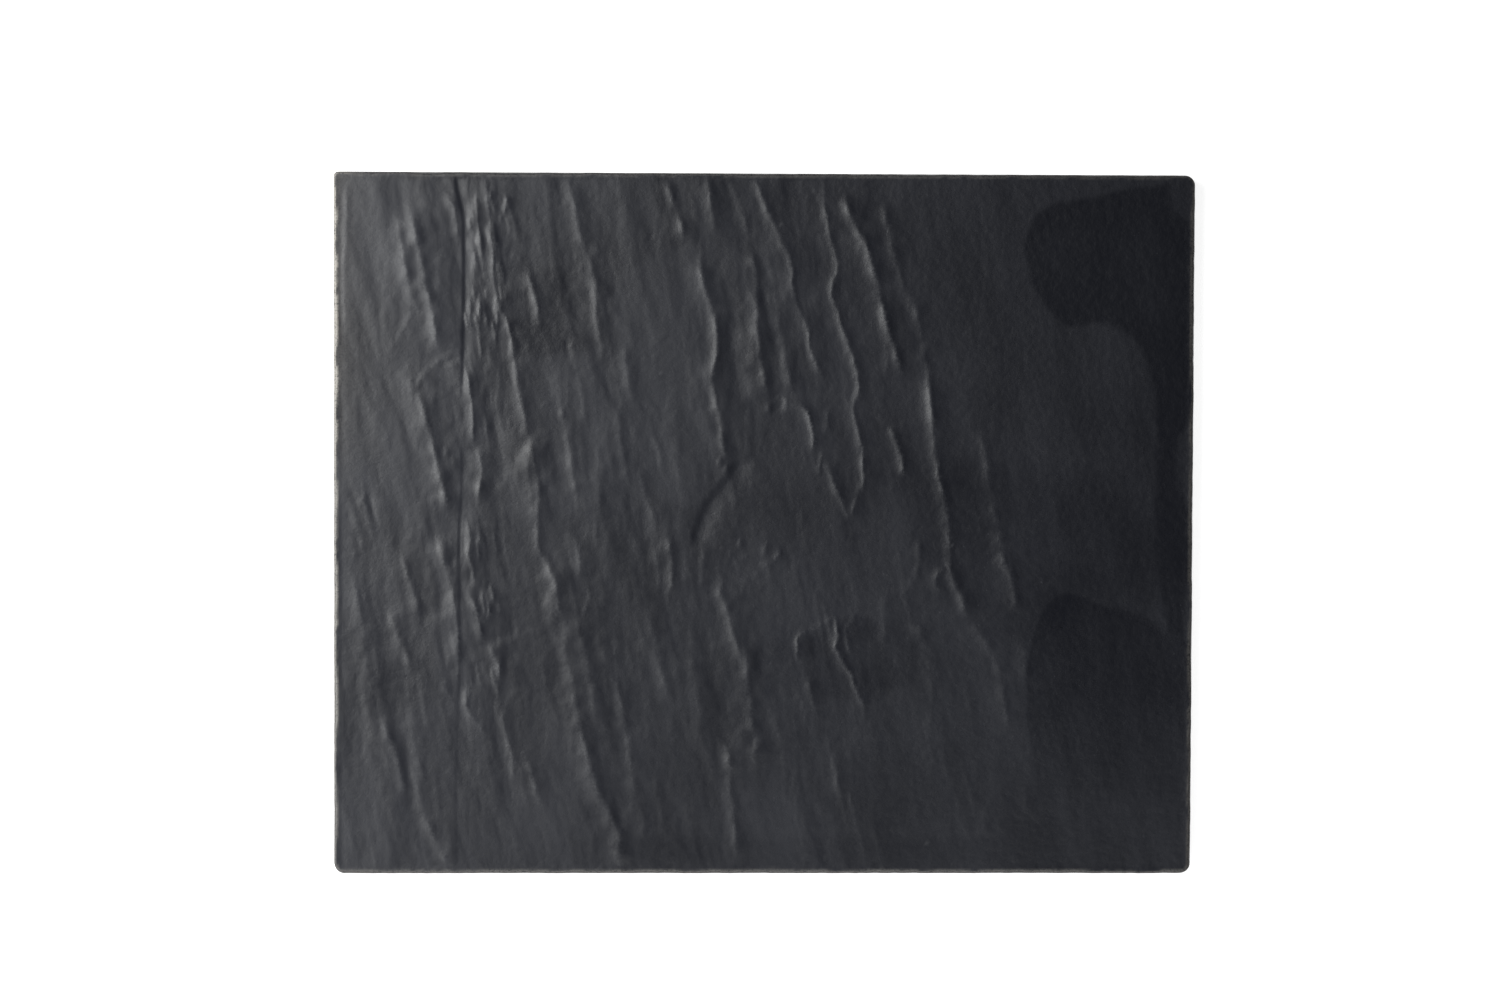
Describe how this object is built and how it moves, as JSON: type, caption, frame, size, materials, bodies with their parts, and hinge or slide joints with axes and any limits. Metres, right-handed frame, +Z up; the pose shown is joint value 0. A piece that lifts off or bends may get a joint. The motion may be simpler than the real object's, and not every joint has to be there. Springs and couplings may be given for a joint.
{
  "type": "slate serving board",
  "caption": "Flat rectangular serving board of riven stone with dressed edges, standing on stick-on rubber feet, for presenting cold food at the table or on a buffet.",
  "frame": {"origin": "on the table, under the middle of the board, in the plane of the four feet", "axes": "+X to the right along the long side, +Y to the back, +Z up through the riven serving face"},
  "size_m": [0.325, 0.265, 0.0101],
  "materials": {
    "slate": "satin",
    "rubber": "matte",
    "adhesive": "matte"
  },
  "bodies": {
    "root": {"slab": "slate", "foot_front_left": "rubber", "foot_front_right": "rubber", "foot_back_left": "rubber", "foot_back_right": "rubber", "adhesive_front_left": "adhesive", "adhesive_front_right": "adhesive", "adhesive_back_left": "adhesive", "adhesive_back_right": "adhesive"}
  },
  "joints": []
}
